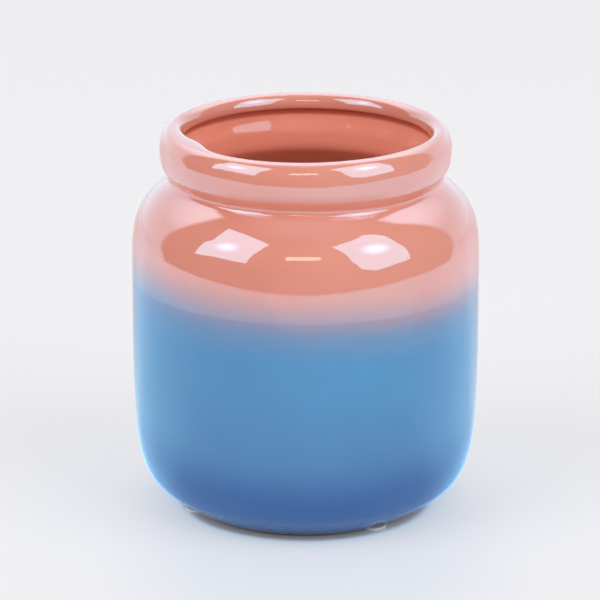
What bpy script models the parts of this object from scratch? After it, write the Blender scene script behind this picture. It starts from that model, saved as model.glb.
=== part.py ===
"""Glazed ceramic vase with a rolled rim, built as the potter builds it.

One slip-cast clay body carries four coats of glaze: a liner inside and three sprayed bands
outside. Three clear pads are stuck under its foot ring. Every coat follows one turned outline.
Units are metres, +Z is up, and the origin is on the table under the middle of the foot.
"""
import math

import bpy
from mathutils import Matrix, Vector
from mathutils.geometry import interpolate_bezier

MM = 0.001

# Heights, measured from the underside of the clay foot ring
BODY_HEIGHT = 158.7 * MM      # foot ring to the crest of the rim
RIM_HEIGHT = 20.6 * MM        # crease of the neck to the crest
RIM_DROP = 7.9 * MM           # widest part of the rim to the crest
SHOULDER_HEIGHT = 48.1 * MM   # widest part of the body to the crease
HEEL_HEIGHT = 31.8 * MM       # rounded heel, from the glaze line up

# Radii
FOOT_RADIUS = 48.4 * MM
BELLY_RADIUS = 71.2 * MM      # the widest part of the body
HEEL_TAPER = 1.4 * MM         # how much narrower the wall is where the heel begins
NECK_RADIUS = 54.9 * MM
RIM_RADIUS = 59.7 * MM
CREST_RADIUS = 53.6 * MM
MOUTH_RADIUS = 51.0 * MM      # the hole inside the lip

# Directions of the outline, in degrees from level
HEEL_ANGLE = 37.0             # the heel leaves the foot
WALL_ANGLE = 85.2             # the wall leaves the heel
SHOULDER_ANGLE = 37.6         # the shoulder meets the crease
RIM_ANGLE = 50.6              # the rim leaves the crease

# How far each stretch follows its end directions, as a share of the stretch
HEEL_PULLS = (0.38, 0.67)
WALL_PULLS = (0.33, 0.33)
SHOULDER_PULLS = (0.56, 0.42)
RIM_PULLS = (0.39, 0.46)
ROUND_PULL = 0.5523           # a quarter of a circle
FLOOR_PULL = 0.6              # the inner heel into the floor

# Thicknesses and small forms
WALL = 5.0 * MM               # the whole wall, clay and both coats
FLOOR = 5.0 * MM              # clay floor and liner together
GLAZE = 0.5 * MM
GAP = 0.3 * MM                # clearance between touching pieces
GLAZE_LINE = 1.0 * MM         # bare clay left above the foot
CREASE_EASE = 1.6 * MM        # rounding of the crease under the rim
LIP_DEPTH = 6.4 * MM          # crest to the lower edge of the lip, inside
LIP_SLOPE = 4.0 * MM          # how far down the crest rounds over into the lip
LIP_ROUND = 1.3 * MM          # rounding of the lip's lower edge
RIM_HOLLOW = 1.6 * MM         # how far the wall under the lip stands back from it
FLOOR_ROUND = 7.0 * MM        # rounding between inner wall and floor
FOOT_WIDTH = 7.0 * MM
FOOT_RECESS = 2.0 * MM        # hollow under the floor, inside the foot ring
FOOT_EASE = 0.5 * MM          # sponged edges of the foot ring

# Where the sprayed colours change, above the foot ring
SKY_TOP = 97.0 * MM
DEEP_TOP = 26.0 * MM

# Clear pads under the foot ring
PAD_RADIUS = 5.0 * MM
PAD_HEIGHT = 1.0 * MM
PAD_EASE = 0.4 * MM
PAD_SIDES = 24
RIGHT_PAD_TURN = -52.0        # degrees round from +X
LEFT_PAD_TURN = -162.0
BACK_PAD_TURN = 73.0
RIGHT_PAD_PROUD = 1.5 * MM    # how far each one sticks out past the foot ring
LEFT_PAD_PROUD = 3.0 * MM
BACK_PAD_PROUD = 1.0 * MM

# How finely the solids are faceted
SIDES = 40                    # flats round the vase
FINE = 6                      # samples on a long curve
COARSE = 3                    # samples on a short one
FEW = 2                       # samples on a small rounding or a nearly straight wall
SAME_POINT = 0.01 * MM        # points nearer than this are one

FOOT_LIFT = PAD_HEIGHT + GAP
NECK = BODY_HEIGHT - RIM_HEIGHT
RIM = BODY_HEIGHT - RIM_DROP
BELLY = NECK - SHOULDER_HEIGHT
LIP_EDGE = BODY_HEIGHT - LIP_DEPTH
COAT = GLAZE + GAP            # how far the clay lies under the finished surface


def at(radius, height):
    """A point of the outline, with its height taken from the foot ring."""
    return Vector((radius, 0.0, FOOT_LIFT + height))


def heading(degrees):
    """A direction in the outline's plane, from level outwards, turning up."""
    turn = math.radians(degrees)
    return Vector((math.cos(turn), 0.0, math.sin(turn)))


def stretch(start, start_way, end, end_way, pulls, samples):
    """A curve between two points that leaves and arrives in the given directions."""
    span = (end - start).length
    leave = start + start_way * span * pulls[0]
    arrive = end - end_way * span * pulls[1]
    return interpolate_bezier(start, leave, arrive, end, samples + 1)


def quarter(start, corner, end, samples):
    """A quarter of an ellipse that fits in the corner."""
    leave = start.lerp(corner, ROUND_PULL)
    arrive = end.lerp(corner, ROUND_PULL)
    return interpolate_bezier(start, leave, arrive, end, samples + 1)


def joined(*curves):
    """One run of points, without the doubled ends."""
    run = list(curves[0])
    for curve in curves[1:]:
        run += [p for p in curve if (p - run[-1]).length > SAME_POINT]
    return run


def facing(run):
    """Each point with the direction into the clay, which lies to the left of the run."""
    faced = []
    for i, point in enumerate(run):
        along = run[min(i + 1, len(run) - 1)] - run[max(i - 1, 0)]
        faced.append((point, Vector((-along.z, 0.0, along.x)).normalized()))
    return faced


def under(faced, depth):
    """The same run at a depth in the wall, without the points that a tight bend folds over."""
    sunk = [point + inward * depth for point, inward in faced]
    nearest = depth - SAME_POINT
    return [q for q in sunk if all((q - point).length > nearest for point, _ in faced)]


def between(faced, low, high):
    """The part of a rising run between two heights, cut exactly there."""
    cut = []
    for (p, a), (q, b) in zip(faced, faced[1:]):
        for height in (low, high):
            if p.z < height < q.z:
                share = (height - p.z) / (q.z - p.z)
                cut.append((p.lerp(q, share), a.lerp(b, share).normalized()))
        if low <= q.z <= high:
            cut.append((q, b))
    if low <= faced[0][0].z:
        cut.insert(0, faced[0])
    return sorted(cut, key=lambda sample: sample[0].z)


def outer_wall():
    """The glazed outside, from the glaze line up to the widest part of the rim."""
    foot = at(FOOT_RADIUS, GLAZE_LINE)
    heel = at(BELLY_RADIUS - HEEL_TAPER, GLAZE_LINE + HEEL_HEIGHT)
    belly = at(BELLY_RADIUS, BELLY)
    crease = at(NECK_RADIUS, NECK)
    rim = at(RIM_RADIUS, RIM)
    up = heading(90.0)
    shoulder_way = heading(180.0 - SHOULDER_ANGLE)
    rim_way = heading(RIM_ANGLE)
    below = crease - shoulder_way * CREASE_EASE
    above = crease + rim_way * CREASE_EASE
    return joined(
        stretch(foot, heading(HEEL_ANGLE), heel, heading(WALL_ANGLE), HEEL_PULLS, FINE),
        stretch(heel, heading(WALL_ANGLE), belly, up, WALL_PULLS, FEW),
        stretch(belly, up, below, shoulder_way, SHOULDER_PULLS, FINE),
        quarter(below, crease, above, FEW),
        stretch(above, rim_way, rim, up, RIM_PULLS, COARSE),
    )


def rim_top():
    """Over the rim and down the inside of the lip, to where the liner takes over."""
    rim = at(RIM_RADIUS, RIM)
    crest = at(CREST_RADIUS, BODY_HEIGHT)
    lip = at(MOUTH_RADIUS, BODY_HEIGHT - LIP_SLOPE)
    seam = lip.lerp(at(MOUTH_RADIUS, LIP_EDGE + LIP_ROUND), 0.5)
    return joined(
        quarter(rim, at(RIM_RADIUS, BODY_HEIGHT), crest, FINE),
        quarter(crest, at(MOUTH_RADIUS, BODY_HEIGHT), lip, COARSE),
        [seam],
    )


def inner_wall(wall, seam):
    """The glazed inside, from the seam in the lip down to the middle of the floor."""
    hollow_radius = MOUTH_RADIUS + RIM_HOLLOW
    edge = at(MOUTH_RADIUS, LIP_EDGE + LIP_ROUND)
    ledge = at(MOUTH_RADIUS + LIP_ROUND, LIP_EDGE)
    recess = at(hollow_radius, LIP_EDGE - LIP_ROUND)
    lip = quarter(edge, at(MOUTH_RADIUS, LIP_EDGE), ledge, FEW)
    hollow = quarter(ledge, at(hollow_radius, LIP_EDGE), recess, FEW)
    floor_top = FOOT_RECESS + FLOOR
    level = at(0.0, floor_top).z
    neck = at(0.0, NECK + CREASE_EASE / 2).z
    sides = [q for q in reversed(under(wall, WALL)) if level + FLOOR_ROUND * 0.5 < q.z < neck]
    last = sides[-1]
    slope = (last - sides[-2]).normalized()
    corner = last + slope * ((level - last.z) / slope.z)
    flat = Vector((corner.x - FLOOR_ROUND, 0.0, level))
    start = seam - heading(90.0) * GAP
    leave, arrive = last.lerp(corner, FLOOR_PULL), flat.lerp(corner, FLOOR_PULL)
    turn = interpolate_bezier(last, leave, arrive, flat, COARSE + 1)
    return joined([start], lip, hollow, sides, turn, [at(0.0, floor_top)])


def turned(name, outline, closed, material):
    """Turn an outline round the vase's axis, as one object."""
    mesh = bpy.data.meshes.new(name)
    edges = [(i, i + 1) for i in range(len(outline) - 1)]
    if closed:
        edges.append((len(outline) - 1, 0))
    mesh.from_pydata(outline, edges, [])
    piece = bpy.data.objects.new(name, mesh)
    vase.objects.link(piece)
    mesh.materials.append(material)
    screw = piece.modifiers.new("Turn", "SCREW")
    screw.axis = "Z"
    screw.steps = SIDES
    screw.render_steps = SIDES
    screw.use_merge_vertices = True
    screw.merge_threshold = 0.00001
    screw.use_smooth_shade = True
    return piece


def band(name, faced, material):
    """A coat of glaze over one part of the outside. Its outer side runs down."""
    outside = [point for point, _ in reversed(faced)]
    return turned(name, outside + under(faced, GLAZE), True, material)


def finish(name, colour, roughness, coat=0.0, see_through=0.0):
    """A plain material of one colour."""
    material = bpy.data.materials.new(name)
    material.use_nodes = True
    shader = material.node_tree.nodes["Principled BSDF"]
    shader.inputs["Base Color"].default_value = (*colour, 1.0)
    shader.inputs["Roughness"].default_value = roughness
    shader.inputs["Metallic"].default_value = 0.0
    shader.inputs["Coat Weight"].default_value = coat
    shader.inputs["Transmission Weight"].default_value = see_through
    return material


def clay_outline(outside, inside):
    """The clay from the middle of the floor, over the rim, to the middle of the underside."""
    skin = under(facing(outside + inside), COAT)
    skin[-1].x = 0.0
    edge = skin[0].x
    ring = edge - FOOT_WIDTH
    bottom = [
        at(edge, FOOT_EASE),
        at(edge - FOOT_EASE, 0.0),
        at(ring + FOOT_EASE, 0.0),
        at(ring, FOOT_EASE),
        at(ring - FOOT_RECESS, FOOT_RECESS),
        at(0.0, FOOT_RECESS),
    ]
    return list(reversed(skin)) + bottom


def foot_pad(name, turn, proud, material):
    """A clear stick-on pad under the foot ring, with its lower edge eased."""
    reach = FOOT_RADIUS + proud - PAD_RADIUS
    bpy.ops.mesh.primitive_cylinder_add(vertices=PAD_SIDES, radius=PAD_RADIUS, depth=PAD_HEIGHT)
    pad = bpy.context.object
    pad.name = name
    pad.data.name = name
    pad.data.materials.append(material)
    centre = Matrix.Rotation(math.radians(turn), 4, "Z") @ Vector((reach, 0.0, PAD_HEIGHT / 2))
    pad.location = centre
    weights = pad.data.attributes.new("bevel_weight_edge", "FLOAT", "EDGE")
    for edge in pad.data.edges:
        low = all(pad.data.vertices[v].co.z < 0.0 for v in edge.vertices)
        weights.data[edge.index].value = 1.0 if low else 0.0
    bevel = pad.modifiers.new("Eased edge", "BEVEL")
    bevel.limit_method = "WEIGHT"
    bevel.width = PAD_EASE
    bevel.segments = 2
    pad.data.shade_smooth()
    pad.data.set_sharp_from_angle(angle=math.radians(50.0))
    for old in list(pad.users_collection):
        old.objects.unlink(pad)
    vase.objects.link(pad)
    return pad


for old_object in list(bpy.data.objects):
    bpy.data.objects.remove(old_object, do_unlink=True)

vase = bpy.data.collections.new("Ceramic vase")
bpy.context.scene.collection.children.link(vase)

bare_clay = finish("Fired cream clay", (0.56, 0.45, 0.33), 0.85)
coral = finish("Gloss coral glaze", (0.72, 0.24, 0.18), 0.12, coat=0.5)
sky_blue = finish("Gloss sky blue glaze", (0.11, 0.30, 0.53), 0.12, coat=0.5)
deep_blue = finish("Gloss deep blue glaze", (0.07, 0.14, 0.38), 0.12, coat=0.5)
clear_pad = finish("Clear soft plastic", (0.75, 0.78, 0.80), 0.25, see_through=0.6)

wall_run = outer_wall()
rim_run = rim_top()
outside_run = joined(wall_run, rim_run)
inside_run = inner_wall(facing(wall_run), rim_run[-1])
outside_faced = facing(outside_run)
rising = [sample for sample in outside_faced if sample[0].z <= at(0.0, RIM).z]
over_rim = outside_faced[len(rising):]

# The clay body, with both its sides and its foot ring
turned("clay_body", clay_outline(outside_run, inside_run), False, bare_clay)

# The liner, poured inside and out again before the outside is sprayed
inside_faced = facing(inside_run)
liner_under = under(inside_faced, GLAZE)
liner_under[-1].x = 0.0
turned("liner_glaze", inside_run[::-1] + liner_under, False, coral)

# The three sprayed bands
sky_top = at(0.0, SKY_TOP).z
deep_top = at(0.0, DEEP_TOP).z
rim_level = at(0.0, RIM).z
band("deep_blue_glaze", between(rising, 0.0, deep_top - GAP / 2), deep_blue)
band("sky_blue_glaze", between(rising, deep_top + GAP / 2, sky_top - GAP / 2), sky_blue)
band("coral_glaze", between(rising, sky_top + GAP / 2, rim_level) + over_rim, coral)

foot_pad("foot_pad_right", RIGHT_PAD_TURN, RIGHT_PAD_PROUD, clear_pad)
foot_pad("foot_pad_left", LEFT_PAD_TURN, LEFT_PAD_PROUD, clear_pad)
foot_pad("foot_pad_back", BACK_PAD_TURN, BACK_PAD_PROUD, clear_pad)
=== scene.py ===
# A glazed ceramic vase with a rolled rim, coral airbrushed over blue, on three clear pads.
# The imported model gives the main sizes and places, and this script makes the finished surfaces.
import math

import bmesh
import bpy
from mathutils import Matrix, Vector, noise
from mathutils.geometry import interpolate_bezier


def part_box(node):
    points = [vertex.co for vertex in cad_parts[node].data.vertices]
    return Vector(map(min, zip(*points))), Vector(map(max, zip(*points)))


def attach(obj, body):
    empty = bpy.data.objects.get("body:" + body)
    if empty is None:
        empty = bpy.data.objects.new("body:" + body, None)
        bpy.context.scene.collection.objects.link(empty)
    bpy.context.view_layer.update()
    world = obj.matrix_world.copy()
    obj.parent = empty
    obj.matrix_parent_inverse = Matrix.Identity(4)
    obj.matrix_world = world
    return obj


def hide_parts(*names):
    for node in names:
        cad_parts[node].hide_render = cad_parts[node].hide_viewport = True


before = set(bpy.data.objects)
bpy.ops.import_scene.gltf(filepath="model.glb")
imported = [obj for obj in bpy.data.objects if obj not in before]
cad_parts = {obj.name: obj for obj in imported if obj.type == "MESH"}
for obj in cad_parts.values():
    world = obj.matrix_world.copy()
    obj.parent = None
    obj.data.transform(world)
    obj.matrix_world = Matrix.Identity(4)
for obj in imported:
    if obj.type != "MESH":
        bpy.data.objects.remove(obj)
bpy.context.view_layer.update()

mm = 0.001
smooth = {"interpolation_type": "SMOOTHSTEP"}
inColour = {"data_type": "RGBA"}
usualNoise = (0.3, 0.7)          # a noise texture gives 0 to 1, but mostly what lies between these
print("1 of 7: the frame is loaded, with", len(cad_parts), "nodes")


# Small helpers

def linear(hexColour):
    # "#rrggbb" as a screen shows it, to the linear colour that Blender mixes with
    parts = [int(hexColour[i:i + 2], 16) / 255 for i in (1, 3, 5)]
    return [c / 12.92 if c <= 0.04045 else ((c + 0.055) / 1.055) ** 2.4 for c in parts] + [1.0]


def addNode(tree, kind, settings, inputs, output=None):
    # inputs takes plain values, and outputs of other nodes to link from, by name or by number.
    # Gives back the named output, or else the first one in use
    added = tree.nodes.new("ShaderNode" + kind)
    for name, value in settings.items():
        setattr(added, name, value)
    live = {socket.name: socket for socket in reversed(added.inputs) if socket.enabled}
    for key, value in inputs.items():
        socket = live[key] if isinstance(key, str) else added.inputs[key]
        if isinstance(value, bpy.types.NodeSocket):
            tree.links.new(value, socket)
        else:
            socket.default_value = value
    ready = {socket.name: socket for socket in reversed(added.outputs) if socket.enabled}
    return ready.get(output) or next(reversed(ready.values()), None)


def smoothStep(low, high, value):
    share = min(max((value - low) / (high - low), 0.0), 1.0)
    return share * share * (3 - 2 * share)


# The camera stands where the photographer stood, with a long lens
camera = {
    "elevation": 17.39,          # degrees above level
    "distance": 1.7339,          # metres
    "aim": (-2.3 * mm, 0.0, 86.15 * mm),
    "lens": 253.56,              # mm
    "sensor": 36.0,              # mm wide
    "near": 0.05,                # metres: nothing closer is shown
}


def placeCamera():
    data = bpy.data.cameras.new("camera")
    data.lens = camera["lens"]
    data.sensor_width = camera["sensor"]
    data.clip_start = camera["near"]
    shot = bpy.data.objects.new("camera", data)
    tilt = math.radians(camera["elevation"])
    back = Vector((0.0, -math.cos(tilt), math.sin(tilt))) * camera["distance"]
    shot.location = Vector(camera["aim"]) + back
    shot.rotation_euler = (math.pi / 2 - tilt, 0.0, 0.0)
    bpy.context.scene.collection.objects.link(shot)
    bpy.context.scene.camera = shot


placeCamera()
print("2 of 7: the camera is placed")


# The vase's outline. Sizes in mm, and heights from the underside of the foot ring
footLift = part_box("clay_body")[0].z
vase = {
    "bodyHeight": (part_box("coral_glaze")[1].z - footLift) / mm,
    "bellyRadius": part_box("sky_blue_glaze")[1].x / mm,
    "neckHeight": 137.85,
    "rimHeight": 150.5,          # the widest part of the rim
    "bellyHeight": 90.0,
    "heelHeight": 32.8,
    "footRadius": 48.4,
    "heelRadius": 69.8,
    "neckRadius": 54.9,
    "rimRadius": 59.7,
    "crestRadius": 54.8,
    "mouthRadius": 51.0,
    "wall": 5.0,
    "glaze": 0.5,
    "glazeLine": 0.4,            # bare clay left above the foot
    "creaseEase": 2.4,
    "lipDepth": 6.4,
    "lipSlope": 4.6,             # how far down the crest rounds over into the lip
    "lipRound": 1.3,
    "rimHollow": 1.75,           # how far the wall under the lip stands back from it
    "throatRadius": 51.1,        # where that wall has come in again
    "throatHeight": 141.4,
    "throatDrop": 3.2,           # mm below the neck, where the wall is even again
    "floorTop": 7.0,
    "floorRound": 7.0,
    "footWidth": 7.0,
    "footRecess": 2.0,
    "footEase": 0.8,
}
# Directions in degrees from level, and how far each curve follows them
curves = {
    "heelAngle": 37.0, "wallAngle": 85.2, "shoulderAngle": 37.6, "rimAngle": 50.6,
    "heelPulls": (0.36, 0.65), "wallPulls": (0.33, 0.33), "shoulderPulls": (0.56, 0.42),
    "rimPulls": (0.39, 0.46), "hollowPulls": (0.42, 0.30), "throatPulls": (0.25, 0.35),
    "roundPull": 0.5523, "floorPull": 0.6,
}
samples = {
    "long": 20, "short": 10, "tiny": 5,  # points on a stretch of the outline
    "around": 180, "clayAround": 90,     # steps of a turn
    "hidden": 3,                 # on a hidden side, only every third point is kept
}
samePoint = 0.005 * mm           # points of an outline nearer than this are one
sameVertex = 0.001 * mm

# The colours change here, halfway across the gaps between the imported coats
skyTop = (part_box("sky_blue_glaze")[1].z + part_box("coral_glaze")[0].z) / 2
deepTop = (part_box("deep_blue_glaze")[1].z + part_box("sky_blue_glaze")[0].z) / 2


def at(radius, height):
    return Vector((radius * mm, 0.0, footLift + height * mm))


def way(degrees):
    turn = math.radians(degrees)
    return Vector((math.cos(turn), 0.0, math.sin(turn)))


def stretch(start, startWay, end, endWay, pulls, count):
    span = (end - start).length
    leave = start + startWay * span * pulls[0]
    arrive = end - endWay * span * pulls[1]
    return interpolate_bezier(start, leave, arrive, end, count + 1)


def quarter(start, corner, end, count):
    leave = start.lerp(corner, curves["roundPull"])
    arrive = end.lerp(corner, curves["roundPull"])
    return interpolate_bezier(start, leave, arrive, end, count + 1)


def joined(*runs):
    whole = list(runs[0])
    for run in runs[1:]:
        whole += [p for p in run if (p - whole[-1]).length > samePoint]
    return whole


def facing(run):
    # each point with the way into the clay, which lies to the left of the run
    faced = []
    for i, point in enumerate(run):
        along = run[min(i + 1, len(run) - 1)] - run[max(i - 1, 0)]
        faced.append((point, Vector((-along.z, 0.0, along.x)).normalized()))
    return faced


def under(faced, depth):
    # the same run deeper in the wall, without what a tight bend folds over
    sunk = [point + inward * depth for point, inward in faced]
    nearest = depth - samePoint
    return [q for q in sunk if all((q - point).length > nearest for point, _ in faced)]


def between(faced, low, high):
    # the part of a rising run between two heights, cut exactly there
    cut = []
    for (p, a), (q, b) in zip(faced, faced[1:]):
        for height in (low, high):
            if p.z < height < q.z:
                share = (height - p.z) / (q.z - p.z)
                cut.append((p.lerp(q, share), a.lerp(b, share).normalized()))
        if low <= q.z <= high:
            cut.append((q, b))
    if low <= faced[0][0].z:
        cut.insert(0, faced[0])
    return sorted(cut, key=lambda sample: sample[0].z)


def outerWall():
    foot = at(vase["footRadius"], vase["glazeLine"])
    heel = at(vase["heelRadius"], vase["heelHeight"])
    belly = at(vase["bellyRadius"], vase["bellyHeight"])
    crease = at(vase["neckRadius"], vase["neckHeight"])
    rim = at(vase["rimRadius"], vase["rimHeight"])
    heelWay, wallWay = way(curves["heelAngle"]), way(curves["wallAngle"])
    shoulderWay, rimWay = way(180 - curves["shoulderAngle"]), way(curves["rimAngle"])
    below = crease - shoulderWay * vase["creaseEase"] * mm
    above = crease + rimWay * vase["creaseEase"] * mm
    return joined(
        stretch(foot, heelWay, heel, wallWay, curves["heelPulls"], samples["long"]),
        stretch(heel, wallWay, belly, way(90), curves["wallPulls"], samples["long"]),
        stretch(belly, way(90), below, shoulderWay, curves["shoulderPulls"], samples["long"]),
        quarter(below, crease, above, samples["tiny"]),
        stretch(above, rimWay, rim, way(90), curves["rimPulls"], samples["short"]),
    )


def rimTop():
    rim = at(vase["rimRadius"], vase["rimHeight"])
    crest = at(vase["crestRadius"], vase["bodyHeight"])
    lip = at(vase["mouthRadius"], vase["bodyHeight"] - vase["lipSlope"])
    lipEdge = at(vase["mouthRadius"], vase["bodyHeight"] - vase["lipDepth"] + vase["lipRound"])
    return joined(
        quarter(rim, at(vase["rimRadius"], vase["bodyHeight"]), crest, samples["long"]),
        quarter(crest, at(vase["mouthRadius"], vase["bodyHeight"]), lip, samples["short"]),
        [lip.lerp(lipEdge, 0.5)],
    )


def innerWall(wall, seam):
    # from the seam in the lip, back under the lip, past the neck and down to the floor
    hollow = vase["mouthRadius"] + vase["rimHollow"]
    edgeHeight = vase["bodyHeight"] - vase["lipDepth"]
    edge = at(vase["mouthRadius"], edgeHeight + vase["lipRound"])
    ledge = at(vase["mouthRadius"] + vase["lipRound"], edgeHeight)
    recess = at(hollow, edgeHeight - vase["lipRound"])
    lip = quarter(edge, at(vase["mouthRadius"], edgeHeight), ledge, samples["tiny"])
    back = quarter(ledge, at(hollow, edgeHeight), recess, samples["tiny"])
    level = at(0, vase["floorTop"]).z
    floorStart = level + vase["floorRound"] * mm / 2
    even = at(0, vase["neckHeight"] - vase["throatDrop"]).z
    sides = [q for q in reversed(under(wall, vase["wall"] * mm)) if floorStart < q.z < even]
    throat = at(vase["throatRadius"], vase["throatHeight"])
    behind = stretch(recess, way(-90), throat, way(-90), curves["hollowPulls"], samples["short"])
    spread = stretch(throat, way(-90), sides[0], (sides[1] - sides[0]).normalized(),
                     curves["throatPulls"], samples["short"])
    last = sides[-1]
    slope = (last - sides[-2]).normalized()
    corner = last + slope * ((level - last.z) / slope.z)
    flat = Vector((corner.x - vase["floorRound"] * mm, 0.0, level))
    leave, arrive = last.lerp(corner, curves["floorPull"]), flat.lerp(corner, curves["floorPull"])
    turn = interpolate_bezier(last, leave, arrive, flat, samples["short"] + 1)
    middle = at(0, vase["floorTop"])
    floor = [flat.lerp(middle, i / samples["short"]) for i in range(samples["short"])]
    return joined([seam], lip, back, behind, spread, sides, turn, floor, [middle])


def thinned(run):
    # a hidden side needs few points, but keeps both its ends
    return run[:-1:samples["hidden"]] + run[-1:]


def clayOutline(outside, inside):
    skin = thinned(under(facing(outside + inside), vase["glaze"] * mm))
    skin[-1].x = 0.0
    edge = skin[0].x / mm
    ring = edge - vase["footWidth"]
    ease = vase["footEase"]
    recess = vase["footRecess"]
    bottom = joined(
        quarter(at(edge, ease), at(edge, 0), at(edge - ease, 0), samples["tiny"]),
        quarter(at(ring + ease, 0), at(ring, 0), at(ring, ease), samples["tiny"]),
        quarter(at(ring, ease), at(ring, recess), at(ring - recess, recess), samples["tiny"]),
        [at(ring * share, recess) for share in (0.8, 0.6, 0.4, 0.2, 0.0)],
    )
    return list(reversed(skin)) + bottom


# What the potter's hand leaves: slumps in the lip, a wall not quite round, and pooled glaze
hand = {
    "lipDip": (-105, 35, 0.3),       # degrees round from +X, half width, mm lower
    "creaseDip": (-50, 28, 0.9),     # the same for the crease under the rim
    "creaseReach": 6.0,              # mm above and below the crease
    # two thick places inside the lip: degrees, half width, mm thicker
    "lipThick": ((-151, 12.5, 3.9), (-170, 16, 1.9)),
    "lipThickOver": (53.0, 57.0),    # mm from the axis: that thickness is lost between these
    "lipRipple": (20, 9, 5.0, 0.16),     # degrees, half width, mm across, mm deep: runs in the glaze
    "lipWander": (0.15, 1.3),        # mm the crest rises and falls, and how often round
    "outOfRound": (0.2, 50, 60.0),   # mm flatter, degrees of turn, mm up to where it is all there
    "pooling": ((22, 0.07), (8, 0.02)),   # mm across, mm deep
    "poolingLean": 0.6,              # keeps the pooling inside the vase's outline
    "poolingFrom": 12.0,             # mm up to where it is all there
    "bead": (1.6, 1.2, 0.18),        # mm up, mm half height, mm proud: glaze gathers at its edge
    "seed": 1,                       # which of many poolings it is
}
noise.seed_set(hand["seed"])         # without it, noise_vector follows the clock


def swell(value, centre, width):
    return math.exp(-((value - centre) / width) ** 2)


def swellRound(angle, centre, width):
    return swell((angle - centre + 180) % 360, 180, width)


def byHand(point):
    # inwards or down, but for the bead at the foot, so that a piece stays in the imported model's box
    angle = math.degrees(math.atan2(point.y, point.x))
    radius = math.hypot(point.x, point.y)
    if radius < samePoint:
        return point
    outward = Vector((point.x, point.y, 0.0)) / radius
    height = point.z - footLift
    shift = Vector()
    lip = smoothStep(vase["neckHeight"] * mm, vase["bodyHeight"] * mm, height)
    if lip > 0.0:
        drop, often = hand["lipWander"]
        wander = 0.5 + 0.5 * noise.noise(outward * often)
        dipAt, dipWidth, dip = hand["lipDip"]
        shift.z -= lip * (dip * swellRound(angle, dipAt, dipWidth) + drop * wander) * mm
        near, far = hand["lipThickOver"]
        inner = 1.0 - smoothStep(near * mm, far * mm, radius)
        for thickAt, thickWidth, thick in hand["lipThick"]:
            shift -= outward * lip * inner * thick * swellRound(angle, thickAt, thickWidth) * mm
        rippleAt, rippleWidth, across, depth = hand["lipRipple"]
        ripple = 0.5 + noise.noise(point / (across * mm))
        shift -= outward * lip * inner * depth * ripple * swellRound(angle, rippleAt, rippleWidth) * mm
    dipAt, dipWidth, dip = hand["creaseDip"]
    level = swell(height, vase["neckHeight"] * mm, hand["creaseReach"] * mm)
    shift.z -= dip * level * swellRound(angle, dipAt, dipWidth) * mm
    flatter, turn, full = hand["outOfRound"]
    oval = 0.5 + 0.5 * math.cos(math.radians(2 * angle + turn))
    shift -= outward * flatter * mm * oval * smoothStep(0, full * mm, height)
    beadAt, beadWidth, bead = hand["bead"]
    shift += outward * bead * mm * swell(height, beadAt * mm, beadWidth * mm)
    fade = smoothStep(0, hand["poolingFrom"] * mm, height)
    lean = Vector.Fill(3, hand["poolingLean"])
    for size, depth in hand["pooling"]:
        wave = noise.noise_vector(point / (size * mm)) - lean
        shift += (outward * wave.x + Vector((0, 0, wave.z))) * depth * mm * fade
    return point + shift


def spun(outline, closed, around):
    # an outline turned round the vase's axis, as a closed skin. An open one ends on the axis
    bm = bmesh.new()
    points = [bm.verts.new(p) for p in outline]
    pairs = list(zip(points, points[1:])) + ([(points[-1], points[0])] if closed else [])
    edges = [bm.edges.new(pair) for pair in pairs]
    bmesh.ops.spin(bm, geom=points + edges, cent=(0, 0, 0), axis=(0, 0, 1), dvec=(0, 0, 0),
                   angle=math.tau, steps=around, use_merge=True, use_normal_flip=False)
    bmesh.ops.remove_doubles(bm, verts=bm.verts, dist=sameVertex)
    bmesh.ops.recalc_face_normals(bm, faces=bm.faces)
    for face in bm.faces:
        face.smooth = True
    return bm


def turned(name, outline, closed, around, seams=()):
    # the outline's points in seams become sharp rings, and the potter's hand comes last
    bm = spun(outline, closed, around)
    corners = {(round(p.x / mm, 2), round(p.z / mm, 2)) for p in seams}
    ring = {v: (round(math.hypot(v.co.x, v.co.y) / mm, 2), round(v.co.z / mm, 2)) for v in bm.verts}
    for edge in bm.edges:
        first, second = edge.verts
        edge.smooth = not (ring[first] in corners and ring[first] == ring[second])
    for vert in bm.verts:
        vert.co = byHand(vert.co)
    return finishPiece(name, bm)


def finishPiece(name, bm):
    mesh = bpy.data.meshes.new(name)
    bm.to_mesh(mesh)
    bm.free()
    piece = bpy.data.objects.new(name, mesh)
    bpy.context.scene.collection.objects.link(piece)
    return piece


def coat(name, faced):
    # a band of glaze over part of the outside, with sharp ends that meet the next band
    outside = [point for point, _ in reversed(faced)]
    inside = thinned(under(faced, vase["glaze"] * mm))
    ends = (outside[0], outside[-1], inside[0], inside[-1])
    return turned(name, outside + inside, True, samples["around"], ends)


wallRun = outerWall()
rimRun = rimTop()
outsideRun = joined(wallRun, rimRun)
insideRun = innerWall(facing(wallRun), rimRun[-1])
outsideFaced = facing(outsideRun)
rimLevel = at(0, vase["rimHeight"]).z
rising = [sample for sample in outsideFaced if sample[0].z <= rimLevel]
overRim = outsideFaced[len(rising):]
linerUnder = thinned(under(facing(insideRun), vase["glaze"] * mm))
linerUnder[-1].x = 0.0

clayBody = turned("clay_body_fired", clayOutline(outsideRun, insideRun), False, samples["clayAround"])
liner = turned("liner_coral", insideRun[::-1] + linerUnder, False, samples["around"],
               (insideRun[0], linerUnder[0]))
deepCoat = coat("coat_deep_blue", between(rising, 0.0, deepTop))
skyCoat = coat("coat_sky_blue", between(rising, deepTop, skyTop))
coralCoat = coat("coat_coral", between(rising, skyTop, rimLevel) + overRim)
print("3 of 7: the clay and its four coats are turned")


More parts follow.
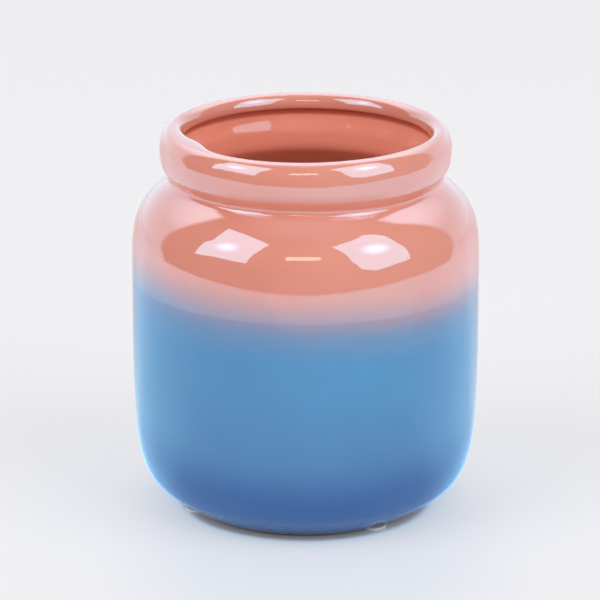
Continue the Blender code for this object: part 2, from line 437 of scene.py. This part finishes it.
# Clear stick-on pads, soft domes with their flat side up against the foot ring
pads = {
    "names": ("foot_pad_right", "foot_pad_left", "foot_pad_back"),
    "dome": 0.75,                # how far up the side rounds in, as a share of the height
    "spread": 1.6,               # how far in it does so, as a multiple of that
    "rimEase": 0.1,              # mm, of the edge against the foot ring
    "rings": 6,
    "around": 48,
    "sharpFrom": 35,             # degrees between faces
}


def makePad(node):
    low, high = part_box(node)
    middle = (low + high) / 2
    radius = (high.x - low.x) / 2
    top = footLift
    ease = top * pads["dome"]
    rimEase = pads["rimEase"] * mm
    side = quarter(Vector((radius, 0, top - ease)), Vector((radius, 0, 0)),
                   Vector((radius - ease * pads["spread"], 0, 0)), pads["rings"])
    outline = [Vector((0, 0, top)), Vector((radius - rimEase, 0, top)),
               Vector((radius, 0, top - rimEase))] + side + [Vector((0, 0, 0))]
    bm = spun(outline, False, pads["around"])
    for edge in bm.edges:
        edge.smooth = edge.calc_face_angle(0.0) < math.radians(pads["sharpFrom"])
    bmesh.ops.translate(bm, verts=bm.verts, vec=(middle.x, middle.y, 0))
    return finishPiece(node + "_clear", bm)


padPieces = [makePad(node) for node in pads["names"]]
print("4 of 7: the pads are made")


# Materials
glaze = {
    "coral": "#e29281",
    "sky": "#4c81b4",
    "deep": "#34619f",
    "poured": "#fda28c",         # the same coral, painted paler inside the mouth as painted light, lifting the inside to the outside's brightness
    "overlap": "#ab7852",        # the muddy tint where coral and blue lie over each other
    "overlapShare": 0.5,
    "pooled": "#dc8470",         # the poured coral where it lies thick
    "pooledShare": 0.25,
    "pooledSize": 30.0,          # mm
    "shadedDepthTint": "#f1b299",     # below the neck: less red and browner, a painted tint for the shaded depth inside
    "underLipShade": "#c66450",       # painted shade: darker coral in the hollow under the lip
    "pouredFrom": (132.0, 138.0),    # mm up inside: the poured coral takes over from the painted tint of the shaded depth,
    "underLipShadeFrom": (150.4, 152.0),  # the painted shade under the lip from that,
    "coralFrom": (153.0, 154.4),     # and the sprayed one from that
    "roughness": (0.03, 0.06),
    "roughSize": 18.0,           # mm across, of slight changes of gloss
    "coralIor": 1.68,            # the coral is the glassier of the two
    "blueIor": 1.5,
    "pouredIor": 1.4,            # poured thin, it is less glassy
    "coralLean": (0.051, -0.050, 1.0),   # the spray was held at a slant to the axis
    "coralEdge": 104.2,          # mm up, where coral and blue are equal at the axis
    "coralFade": 20.0,           # mm from pure coral to pure blue
    "coralDrift": (0.3, 34.0, 5.0),      # share of finer spray, mm of fade, mm lower
    "deepEdge": 34.6,            # mm up
    "deepSway": 5.0,             # mm, higher at the sides than front and back
    "deepFade": 25.0,
    "cloud": (34.0, 2.2),        # mm across, mm up and down, of the fade's uneven edge
    "spatter": (1.2, 0.9),       # mm across, mm of reach, of single droplets
    "mottle": (14.0, 0.02),      # mm across, share that the colour is darker or lighter
    "peel": (2.2, 0.003),        # mm across, mm deep, of the faint orange peel
    "pinholes": (9.0, 0.5),      # mm apart, mm across: specks of iron and burst bubbles
    "pinholesLeftOut": 0.9,      # share of those places that have none
    "speck": "#8a6560",
    "speckShare": 0.7,
    "speckCore": 0.25,           # share of its width over which it is that dark
}
clay = {
    # the tans are painted darker than the fired clay, as shade of the foot under the vase
    "pale": "#b9a78f",
    "dark": "#9c8468",
    "mottle": 9.0,               # mm across
    "grain": (0.5, 0.05),        # mm across, mm deep
    "roughness": 0.85,
}
silicone = {
    # near white, with almost nothing passing: partly milky silicone, partly a painted highlight of the pad's
    # shaded edge
    "clean": "#fbfbf8",
    "dusty": "#eceae2",
    "dust": 0.8,                 # mm across
    "roughness": 0.3,
    "ior": 1.41,
    "clear": 0.05,               # share of the light that passes
}


def newMaterial(name):
    material = bpy.data.materials.new(name)
    material.use_nodes = True
    tree = material.node_tree
    return material, tree, tree.nodes["Principled BSDF"], addNode(tree, "TexCoord", {}, {}, "Object")


def addGloss(tree, shader, place, ior):
    # A fired gloss glaze: glassy, with a faint orange peel and slight changes of gloss
    shader.inputs["IOR"].default_value = ior
    size, depth = glaze["peel"]
    peel = addNode(tree, "TexNoise", {}, {"Vector": place, "Scale": 1 / (size * mm), "Detail": 1.0})
    bump = addNode(tree, "Bump", {}, {"Strength": 1.0, "Distance": depth * mm, "Height": peel})
    tree.links.new(bump, shader.inputs["Normal"])
    breath = addNode(tree, "TexNoise", {}, {"Vector": place, "Scale": 1 / (glaze["roughSize"] * mm)})
    low, high = usualNoise
    glossy, duller = glaze["roughness"]
    rough = addNode(tree, "MapRange", {}, {"Value": breath, "From Min": low, "From Max": high,
                                           "To Min": glossy, "To Max": duller})
    tree.links.new(rough, shader.inputs["Roughness"])


def addSpecks(tree, place, colours):
    # a dark speck in a few of the cells of a loose pattern
    apart, across = glaze["pinholes"]
    cells = {"Vector": place, "Scale": 1 / (apart * mm)}
    near = addNode(tree, "TexVoronoi", {}, cells, "Distance")
    tint = addNode(tree, "TexVoronoi", {}, cells, "Color")
    chance = addNode(tree, "SeparateXYZ", {}, {"Vector": tint}, "X")
    chosen = addNode(tree, "Math", {"operation": "GREATER_THAN"}, {0: chance, 1: glaze["pinholesLeftOut"]})
    edge = across / apart
    dot = addNode(tree, "MapRange", smooth,
                  {"Value": near, "From Min": edge, "From Max": edge * glaze["speckCore"],
                   "To Min": 0.0, "To Max": glaze["speckShare"]})
    share = addNode(tree, "Math", {"operation": "MULTIPLY"}, {0: dot, 1: chosen})
    return addNode(tree, "Mix", inColour, {"Factor": share, "A": colours, "B": linear(glaze["speck"])})


def sprayedGlaze(name, ior):
    # Earthenware glaze, airbrushed in three colours and fired once: glassy, with soft cloudy
    # fades and a fine spatter where one colour thins into the next
    material, tree, shader, place = newMaterial(name)
    cloudSize, cloudReach = glaze["cloud"]
    spatterSize, spatterReach = glaze["spatter"]
    cloud = addNode(tree, "TexNoise", {}, {"Vector": place, "Scale": 1 / (cloudSize * mm), "Detail": 3.0})
    spatter = addNode(tree, "TexNoise", {},
                      {"Vector": place, "Scale": 1 / (spatterSize * mm), "Detail": 1.0})
    # both noises lie about 0.5, so their reach is taken from there
    clouds = addNode(tree, "Math", {"operation": "MULTIPLY_ADD"},
                     {0: cloud, 1: cloudReach * 2 * mm, 2: -(cloudReach + spatterReach) * mm})
    uneven = addNode(tree, "Math", {"operation": "MULTIPLY_ADD"},
                     {0: spatter, 1: spatterReach * 2 * mm, 2: clouds})

    lean = addNode(tree, "VectorMath", {"operation": "DOT_PRODUCT"},
                   {0: place, 1: glaze["coralLean"]}, "Value")
    level = addNode(tree, "Math", {"operation": "ADD"}, {0: lean, 1: uneven})
    edge, half = glaze["coralEdge"] * mm, glaze["coralFade"] * mm / 2
    body = addNode(tree, "MapRange", smooth,
                   {"Value": level, "From Min": edge - half, "From Max": edge + half})
    driftShare, driftFade, driftDrop = glaze["coralDrift"]
    edge, half = edge - driftDrop * mm, driftFade * mm / 2
    drift = addNode(tree, "MapRange", smooth,
                    {"Value": level, "From Min": edge - half, "From Max": edge + half})
    coralShare = addNode(tree, "Mix", {}, {0: driftShare, 2: body, 3: drift})

    # the lower fade is higher at the sides, by the difference of x and y squared
    square = addNode(tree, "VectorMath", {"operation": "MULTIPLY"}, {0: place, 1: place})
    perSquare = glaze["deepSway"] * mm / (vase["bellyRadius"] * mm) ** 2
    sway = addNode(tree, "VectorMath", {"operation": "DOT_PRODUCT"},
                   {0: square, 1: (-perSquare, perSquare, 0.0)}, "Value")
    swayed = addNode(tree, "Math", {"operation": "ADD"}, {0: sway, 1: uneven})
    up = addNode(tree, "SeparateXYZ", {}, {"Vector": place}, "Z")
    lowLevel = addNode(tree, "Math", {"operation": "ADD"}, {0: up, 1: swayed})
    edge, half = glaze["deepEdge"] * mm, glaze["deepFade"] * mm / 2
    skyShare = addNode(tree, "MapRange", smooth,
                       {"Value": lowLevel, "From Min": edge - half, "From Max": edge + half})

    blues = addNode(tree, "Mix", inColour,
                    {"Factor": skyShare, "A": linear(glaze["deep"]), "B": linear(glaze["sky"])})
    colours = addNode(tree, "Mix", inColour,
                      {"Factor": coralShare, "A": blues, "B": linear(glaze["coral"])})
    blueShare = addNode(tree, "Math", {"operation": "SUBTRACT"}, {0: 1.0, 1: coralShare})
    overlap = addNode(tree, "Math", {"operation": "MULTIPLY"}, {0: coralShare, 1: blueShare})
    muddy = addNode(tree, "Math", {"operation": "MULTIPLY"}, {0: overlap, 1: glaze["overlapShare"]})
    colours = addNode(tree, "Mix", inColour,
                      {"Factor": muddy, "A": colours, "B": linear(glaze["overlap"])})
    mottleSize, mottleDepth = glaze["mottle"]
    mottle = addNode(tree, "TexNoise", {}, {"Vector": place, "Scale": 1 / (mottleSize * mm)})
    low, high = usualNoise
    tone = addNode(tree, "MapRange", {}, {"Value": mottle, "From Min": low, "From Max": high,
                                          "To Min": 1 - mottleDepth, "To Max": 1 + mottleDepth})
    colours = addNode(tree, "VectorMath", {"operation": "SCALE"}, {"Vector": colours, "Scale": tone})
    tree.links.new(addSpecks(tree, place, colours), shader.inputs["Base Color"])
    addGloss(tree, shader, place, ior)
    return material


def linerGlaze():
    # The same coral glaze, poured: even in colour but deeper where it pools, and painted paler than the
    # outside coat as lifted light inside the mouth. Painted shade darkens it in the hollow under the lip,
    # and a painted browner tint stands for the shaded depth below the neck
    material, tree, shader, place = newMaterial("coral_glaze_poured")
    pooled = addNode(tree, "TexNoise", {}, {"Vector": place, "Scale": 1 / (glaze["pooledSize"] * mm)})
    share = addNode(tree, "Math", {"operation": "MULTIPLY"}, {0: pooled, 1: glaze["pooledShare"]})
    poured = addNode(tree, "Mix", inColour,
                     {"Factor": share, "A": linear(glaze["poured"]), "B": linear(glaze["pooled"])})
    up = addNode(tree, "SeparateXYZ", {}, {"Vector": place}, "Z")
    # going up: the painted tint of the shaded depth, the poured coral painted paler as lifted light, the
    # painted shade under the lip, then the sprayed coral
    upwards = ((poured, "pouredFrom"), (linear(glaze["underLipShade"]), "underLipShadeFrom"),
               (linear(glaze["coral"]), "coralFrom"))
    colours = linear(glaze["shadedDepthTint"])
    for above, span in upwards:
        low, high = glaze[span]
        share = addNode(tree, "MapRange", smooth, {"Value": up, "From Min": low * mm, "From Max": high * mm})
        colours = addNode(tree, "Mix", inColour, {"Factor": share, "A": colours, "B": above})
    tree.links.new(addSpecks(tree, place, colours), shader.inputs["Base Color"])
    addGloss(tree, shader, place, glaze["pouredIor"])
    return material


def firedClay():
    # Bisque earthenware: matt, cream to tan, with a fine grain and sponge marks. Its tans are painted
    # darker, as painted shade of the bare foot in the vase's shadow
    material, tree, shader, place = newMaterial("fired_earthenware")
    tone = addNode(tree, "TexNoise", {},
                   {"Vector": place, "Scale": 1 / (clay["mottle"] * mm), "Detail": 4.0})
    colours = addNode(tree, "Mix", inColour,
                      {"Factor": tone, "A": linear(clay["dark"]), "B": linear(clay["pale"])})
    tree.links.new(colours, shader.inputs["Base Color"])
    shader.inputs["Roughness"].default_value = clay["roughness"]
    size, depth = clay["grain"]
    grain = addNode(tree, "TexNoise", {}, {"Vector": place, "Scale": 1 / (size * mm), "Detail": 3.0})
    bump = addNode(tree, "Bump", {}, {"Strength": 1.0, "Distance": depth * mm, "Height": grain})
    tree.links.new(bump, shader.inputs["Normal"])
    return material


def clearPad():
    # Soft clear silicone, cast in a dome, with a satin, dusty skin. Its near-white, almost opaque colour is
    # partly the milky look of silicone seen edge on and partly a painted highlight, so that the pad's edge
    # in the vase's shade shows bright
    material, tree, shader, place = newMaterial("clear_silicone_cast")
    dust = addNode(tree, "TexNoise", {}, {"Vector": place, "Scale": 1 / (silicone["dust"] * mm)})
    colours = addNode(tree, "Mix", inColour,
                      {"Factor": dust, "A": linear(silicone["dusty"]), "B": linear(silicone["clean"])})
    tree.links.new(colours, shader.inputs["Base Color"])
    shader.inputs["Roughness"].default_value = silicone["roughness"]
    shader.inputs["IOR"].default_value = silicone["ior"]
    shader.inputs["Transmission Weight"].default_value = silicone["clear"]
    return material


deepFinish = sprayedGlaze("deep_blue_glaze_sprayed", glaze["blueIor"])
skyFinish = sprayedGlaze("sky_blue_glaze_sprayed", glaze["blueIor"])
coralFinish = sprayedGlaze("coral_glaze_sprayed", glaze["coralIor"])
finishes = (
    (clayBody, firedClay(), "bare_clay", "clay_body"),
    (liner, linerGlaze(), "coral_glaze", "liner_glaze"),
    (deepCoat, deepFinish, "deep_blue_glaze", "deep_blue_glaze"),
    (skyCoat, skyFinish, "sky_blue_glaze", "sky_blue_glaze"),
    (coralCoat, coralFinish, "coral_glaze", "coral_glaze"),
)
for piece, material, slot, node in finishes:
    piece.data.materials.append(material)
    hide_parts(node)
    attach(piece, "root")
padMaterial = clearPad()
for piece, node in zip(padPieces, pads["names"]):
    piece.data.materials.append(padMaterial)
    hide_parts(node)
    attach(piece, "root")
print("5 of 7: the finishes are on")


# The studio: a white sweep under and behind the vase, and a dim room in front of it.
# The gloss sees the sweep and the lamps as bright as they are, which a picture can't show.
# How far round is from -1, the camera's side, to 1, straight behind the vase
studio = {
    "floor": "#f1f1f3",
    "floorRadius": 6.0,              # metres
    "floorSides": 96,
    "floorRoughness": 0.9,
    "roomEdge": 0.385,               # how far round the white starts, 113 degrees from the camera,
    "roomLean": 0.04,                # and this much sooner on the left, and later on the right
    "roomSoft": 0.05,
    "roomStart": 0.12,               # metres that it starts further forward on the floor
    "leftRight": 0.6,                # the left's light turns into the right's over this far each way
    "sweepMiddle": (-0.025, 0.10),   # metres
    "sweepReach": (0.76, 0.66),      # metres to its rounded edge
    "sweepSoft": 0.03,               # share of that reach
    "whiteSeenLeft": ("#c5ebff", 2.2),   # what the gloss sees of the white round the vase
    "whiteSeenRight": ("#c9eaff", 2.05),
    "highSeen": ("#d2ecff", 5.3),    # of the white higher up
    "highFrom": (0.35, 0.80),        # sine of the way up
    "overhead": ("#b9e2ff", 1.05),   # and of the room's ceiling
    "overheadFrom": (0.88, 1.02),    # sine of the way up
    "sweepSeenLeft": ("#adebff", 2.5),   # of the sweep in front of the vase
    "sweepSeenRight": ("#9be8ff", 3.2),
    "sideSeen": ("#b4e6ff", 2.65),   # of the sweep at its sides
    "sideFrom": (-0.6, -0.1),        # how far round it turns to that,
    "sideTo": (0.25, 0.55),          # and from that to the white round the vase
    "footSeen": ("#cce7ff", 1.55),   # of the floor round the foot
    "footReach": (0.12, 0.28),       # metres
    "backSeen": ("#fbfbff", 1.0),    # and of the floor close behind it
    "backFrom": (0.60, 0.90),        # how far round
    "backReach": (0.35, 2.0),        # metres
    "roomSeenLeft": ("#fff0e0", 0.05),   # of the room, which is paler to the right
    "roomSeenRight": ("#fff0e0", 0.60),
    "whiteLight": ("#fafcff", 0.80),     # what lights the vase from behind
    "roomLight": ("#fffaf5", 0.27),  # and from in front
    "glow": 0.60,                    # share of the floor that the camera sees as a lit sheet
    "glowFrom": (49.0, 53.5),        # mm from the axis: none under the foot
    "glowFar": ("#f8f8fb", 0.97),
    "glowNear": ("#cbdfee", 1.0),    # the vase's own soft shade on the sheet, at the foot
    "glowReach": (50.0, 84.0),       # mm from the axis
    "glowFront": ("#e4e9f2", 1.0),   # and in front, where the vase hides the light from behind
    "frontMiddle": (4.0, -60.0),     # mm
    "frontReach": (95.0, 190.0),     # mm
    "frontSoft": (1.0, 0.4),         # from this share of that reach inwards
    "shadowUnderFoot": (38.0, 47.0),       # mm from the axis: painted shadow, black under the vase
    "lampsAway": 6.0,                # metres
    "lampsAim": 110.0,               # mm up
    "horizon": 0.86,                 # how bright the camera sees what is past the floor
}
softboxes = {
    # turn and up are degrees round from the camera and above level, away, wide and high are
    # metres, and level is how bright it alone makes a white sheet that faces it.
    # The corners, in degrees, are what the shoulder mirrors at this place, given in mm
    "softbox_left": {
        "turn": -56, "up": 36, "away": 1.25, "wide": 0.92, "high": 1.09, "level": 0.52,
        "place": (-30, -55, 126),
        "corners": ((-79, 12), (-81, 34), (-79, 40), (-90, 56), (-61, 60), (-32, 55), (-39, 28),
                    (-40, 15), (-66, 16)),
    },
    "softbox_right": {
        "turn": 53, "up": 34, "away": 1.10, "wide": 0.92, "high": 1.05, "level": 0.59,
        "place": (27, -55, 126),
        "corners": ((23, 53), (55, 60), (71, 62), (79, 59), (81, 53), (75, 38), (75, 26), (73, 7),
                    (47, 3), (36, 8), (31, 22), (29, 39)),
    },
}
cloth = {
    "middle": 16.0,              # how bright it is in its middle
    "edge": 7.2,                 # and at its edge
    "hot": 0.22,                 # metres from the one to the other
    "tint": "#a6e4ff",
}
strip = {
    "away": 1.6, "place": (-1, -62, 125), "corners": ((-14, 27.5), (11, 28), (11, 35), (-14, 34.5)),
    "level": 6.5, "tint": "#fff0d2",
}


def scaled(pair):
    hexColour, level = pair
    return [c * level for c in linear(hexColour)[:3]] + [1.0]


def aim(turn, up):
    a, e = math.radians(turn), math.radians(up)
    return Vector((math.sin(a) * math.cos(e), -math.cos(a) * math.cos(e), math.sin(e)))


def glowCard(name, box, middle, edge, hot, tint):
    # what the glaze mirrors: a lit cloth, brighter in the middle. It lights nothing else
    bm = bmesh.new()
    start = Vector(box["place"]) * mm
    corners = [bm.verts.new(start + aim(turn, up) * box["away"]) for turn, up in box["corners"]]
    bmesh.ops.contextual_create(bm, geom=corners)
    centre = sum((corner.co for corner in corners), Vector()) / len(corners)
    card = finishPiece(name, bm)
    material, tree, shader, place = newMaterial(name + "_cloth")
    tree.nodes.remove(shader)
    reach = addNode(tree, "VectorMath", {"operation": "DISTANCE"}, {0: place, 1: centre}, "Value")
    level = addNode(tree, "MapRange", smooth,
                    {"Value": reach, "From Min": 0.0, "From Max": hot, "To Min": middle, "To Max": edge})
    shine = addNode(tree, "Emission", {}, {"Color": linear(tint), "Strength": level})
    tree.links.new(shine, tree.nodes["Material Output"].inputs["Surface"])
    card.data.materials.append(material)
    card.visible_camera = False
    card.visible_diffuse = False
    card.visible_shadow = False
    card.visible_transmission = False


def lamp(name, box):
    # the same softbox, further off and larger, so that it lights the floor evenly
    further = studio["lampsAway"] / box["away"]
    data = bpy.data.lights.new(name, "AREA")
    data.shape = "RECTANGLE"
    data.size, data.size_y = box["wide"] * further, box["high"] * further
    data.energy = box["level"] * (math.pi * studio["lampsAway"]) ** 2    # watts
    light = bpy.data.objects.new(name, data)
    out = aim(box["turn"], box["up"])
    light.location = Vector((0, 0, studio["lampsAim"] * mm)) + out * studio["lampsAway"]
    light.rotation_euler = out.to_track_quat("Z", "Y").to_euler()
    light.visible_glossy = False
    light.visible_camera = False
    bpy.context.scene.collection.objects.link(light)


def roundFrom(tree, x, y):
    # how far the way to x and y points behind the vase and to the right, from -1 to 1
    across = addNode(tree, "CombineXYZ", {}, {"X": x, "Y": y})
    flat = addNode(tree, "VectorMath", {"operation": "LENGTH"}, {0: across}, "Value")
    behind = addNode(tree, "Math", {"operation": "DIVIDE"}, {0: y, 1: flat})
    toRight = addNode(tree, "Math", {"operation": "DIVIDE"}, {0: x, 1: flat})
    return flat, behind, toRight


def leftToRight(tree, toRight, name):
    side = studio["leftRight"]
    share = addNode(tree, "MapRange", smooth, {"Value": toRight, "From Min": -side, "From Max": side})
    left, right = scaled(studio[name + "Left"]), scaled(studio[name + "Right"])
    return addNode(tree, "Mix", inColour, {"Factor": share, "A": left, "B": right})


def whiteFrom(tree, behind, toRight):
    # how white the studio is that way round: 0 in the dim room, 1 past its edge
    edge, soft = studio["roomEdge"], studio["roomSoft"]
    leaning = addNode(tree, "Math", {"operation": "MULTIPLY_ADD"},
                      {0: toRight, 1: -studio["roomLean"], 2: behind})
    return addNode(tree, "MapRange", smooth,
                   {"Value": leaning, "From Min": edge - soft, "From Max": edge + soft})


def makeFloor():
    bm = bmesh.new()
    bmesh.ops.create_circle(bm, cap_ends=True, segments=studio["floorSides"],
                            radius=studio["floorRadius"])
    floor = finishPiece("floor", bm)
    material, tree, shader, place = newMaterial("white_sweep")
    shader.inputs["Roughness"].default_value = studio["floorRoughness"]
    shader.inputs["Specular IOR Level"].default_value = 0.0
    x = addNode(tree, "SeparateXYZ", {}, {"Vector": place}, "X")
    y = addNode(tree, "SeparateXYZ", {}, {"Vector": place}, "Y")
    flat, behind, toRight = roundFrom(tree, x, y)

    # the white is near the vase or behind it, and the dim room is elsewhere
    (middleX, middleY), (reachX, reachY) = studio["sweepMiddle"], studio["sweepReach"]
    moved = addNode(tree, "VectorMath", {"operation": "SUBTRACT"}, {0: place, 1: (middleX, middleY, 0)})
    shrunk = addNode(tree, "VectorMath", {"operation": "DIVIDE"}, {0: moved, 1: (reachX, reachY, 1)})
    away = addNode(tree, "VectorMath", {"operation": "LENGTH"}, {0: shrunk}, "Value")
    soft = studio["sweepSoft"]
    near = addNode(tree, "MapRange", {}, {"Value": away, "From Min": 1 + soft, "From Max": 1 - soft})
    start = addNode(tree, "Math", {"operation": "DIVIDE"}, {0: studio["roomStart"], 1: flat})
    started = addNode(tree, "Math", {"operation": "ADD"}, {0: behind, 1: start})
    white = addNode(tree, "Math", {"operation": "MAXIMUM"}, {0: near, 1: whiteFrom(tree, started, toRight)})

    # it is brighter in front and at the sides than close behind, where it is the background
    aroundWhite = leftToRight(tree, toRight, "whiteSeen")
    low, high = studio["backReach"]
    share = addNode(tree, "MapRange", smooth, {"Value": flat, "From Min": low, "From Max": high})
    back = addNode(tree, "Mix", inColour,
                   {"Factor": share, "A": scaled(studio["backSeen"]), "B": aroundWhite})
    low, high = studio["footReach"]
    share = addNode(tree, "MapRange", smooth, {"Value": flat, "From Min": low, "From Max": high})
    around = addNode(tree, "Mix", inColour,
                     {"Factor": share, "A": scaled(studio["footSeen"]),
                      "B": leftToRight(tree, toRight, "sweepSeen")})
    further = ((scaled(studio["sideSeen"]), "sideFrom"), (aroundWhite, "sideTo"), (back, "backFrom"))
    for beyond, span in further:
        low, high = studio[span]
        share = addNode(tree, "MapRange", smooth, {"Value": behind, "From Min": low, "From Max": high})
        around = addNode(tree, "Mix", inColour, {"Factor": share, "A": around, "B": beyond})
    seen = addNode(tree, "Mix", inColour,
                   {"Factor": white, "A": leftToRight(tree, toRight, "roomSeen"), "B": around})

    # the floor's own colour, with a painted shadow that turns it black under the vase
    glossy = addNode(tree, "LightPath", {}, {}, "Is Glossy Ray")
    colours = addNode(tree, "Mix", inColour, {"Factor": glossy, "A": linear(studio["floor"]), "B": seen})
    low, high = studio["shadowUnderFoot"]
    outsidePaintedShadow = addNode(tree, "MapRange", smooth,
                        {"Value": flat, "From Min": low * mm, "From Max": high * mm})
    colours = addNode(tree, "VectorMath", {"operation": "SCALE"}, {"Vector": colours, "Scale": outsidePaintedShadow})
    tree.links.new(colours, shader.inputs["Base Color"])

    # the lit sheet that the camera sees over it, with the vase's soft shade round the foot
    low, high = studio["glowReach"]
    inwards = addNode(tree, "MapRange", {}, {"Value": flat, "From Min": high * mm, "From Max": low * mm})
    shade = addNode(tree, "Math", {"operation": "MULTIPLY"}, {0: inwards, 1: inwards})
    atFoot = addNode(tree, "Mix", inColour,
                     {"Factor": shade, "A": scaled(studio["glowFar"]), "B": scaled(studio["glowNear"])})
    (middleX, middleY), (reachX, reachY) = studio["frontMiddle"], studio["frontReach"]
    moved = addNode(tree, "VectorMath", {"operation": "SUBTRACT"},
                    {0: place, 1: (middleX * mm, middleY * mm, 0)})
    shrunk = addNode(tree, "VectorMath", {"operation": "DIVIDE"},
                     {0: moved, 1: (reachX * mm, reachY * mm, 1)})
    away = addNode(tree, "VectorMath", {"operation": "LENGTH"}, {0: shrunk}, "Value")
    low, high = studio["frontSoft"]
    shade = addNode(tree, "MapRange", smooth, {"Value": away, "From Min": low, "From Max": high})
    inFront = addNode(tree, "Mix", inColour,
                      {"Factor": shade, "A": scaled(studio["glowFar"]), "B": scaled(studio["glowFront"])})
    sheet = addNode(tree, "VectorMath", {"operation": "MINIMUM"}, {0: atFoot, 1: inFront})
    low, high = studio["glowFrom"]
    reach = addNode(tree, "MapRange", smooth,
                    {"Value": flat, "From Min": low * mm, "From Max": high * mm,
                     "To Max": studio["glow"]})
    direct = addNode(tree, "LightPath", {}, {}, "Is Camera Ray")
    share = addNode(tree, "Math", {"operation": "MULTIPLY"}, {0: reach, 1: direct})
    lit = addNode(tree, "Emission", {}, {"Color": sheet})
    mixed = addNode(tree, "MixShader", {}, {0: share, 1: shader.outputs[0], 2: lit})
    tree.links.new(mixed, tree.nodes["Material Output"].inputs["Surface"])
    floor.data.materials.append(material)


def makeWorld():
    world = bpy.data.worlds.new("studio")
    bpy.context.scene.world = world
    world.use_nodes = True
    tree = world.node_tree
    tree.nodes.clear()
    direction = addNode(tree, "TexCoord", {}, {}, "Generated")
    x = addNode(tree, "SeparateXYZ", {}, {"Vector": direction}, "X")
    y = addNode(tree, "SeparateXYZ", {}, {"Vector": direction}, "Y")
    flat, behind, toRight = roundFrom(tree, x, y)
    white = whiteFrom(tree, behind, toRight)
    light = addNode(tree, "Mix", inColour,
                    {"Factor": white, "A": scaled(studio["roomLight"]), "B": scaled(studio["whiteLight"])})
    z = addNode(tree, "SeparateXYZ", {}, {"Vector": direction}, "Z")
    low, high = studio["highFrom"]
    share = addNode(tree, "MapRange", smooth, {"Value": z, "From Min": low, "From Max": high})
    upwards = addNode(tree, "Mix", inColour,
                      {"Factor": share, "A": leftToRight(tree, toRight, "whiteSeen"),
                       "B": scaled(studio["highSeen"])})
    low, high = studio["overheadFrom"]
    share = addNode(tree, "MapRange", smooth, {"Value": z, "From Min": low, "From Max": high})
    room = addNode(tree, "Mix", inColour,
                   {"Factor": share, "A": leftToRight(tree, toRight, "roomSeen"),
                    "B": scaled(studio["overhead"])})
    seen = addNode(tree, "Mix", inColour, {"Factor": white, "A": room, "B": upwards})
    glossy = addNode(tree, "LightPath", {}, {}, "Is Glossy Ray")
    colours = addNode(tree, "Mix", inColour, {"Factor": glossy, "A": light, "B": seen})
    direct = addNode(tree, "LightPath", {}, {}, "Is Camera Ray")
    plain = scaled(("#ffffff", studio["horizon"]))
    colours = addNode(tree, "Mix", inColour, {"Factor": direct, "A": colours, "B": plain})
    sky = addNode(tree, "Background", {}, {"Color": colours})
    addNode(tree, "OutputWorld", {}, {"Surface": sky})


makeFloor()
makeWorld()
for name, box in softboxes.items():
    lamp(name, box)
    glowCard(name + "_seen", box, cloth["middle"], cloth["edge"], cloth["hot"], cloth["tint"])
glowCard("strip_seen", strip, strip["level"], strip["level"], cloth["hot"], strip["tint"])
bpy.context.scene.view_settings.view_transform = "Standard"
print("6 of 7: the studio is lit")
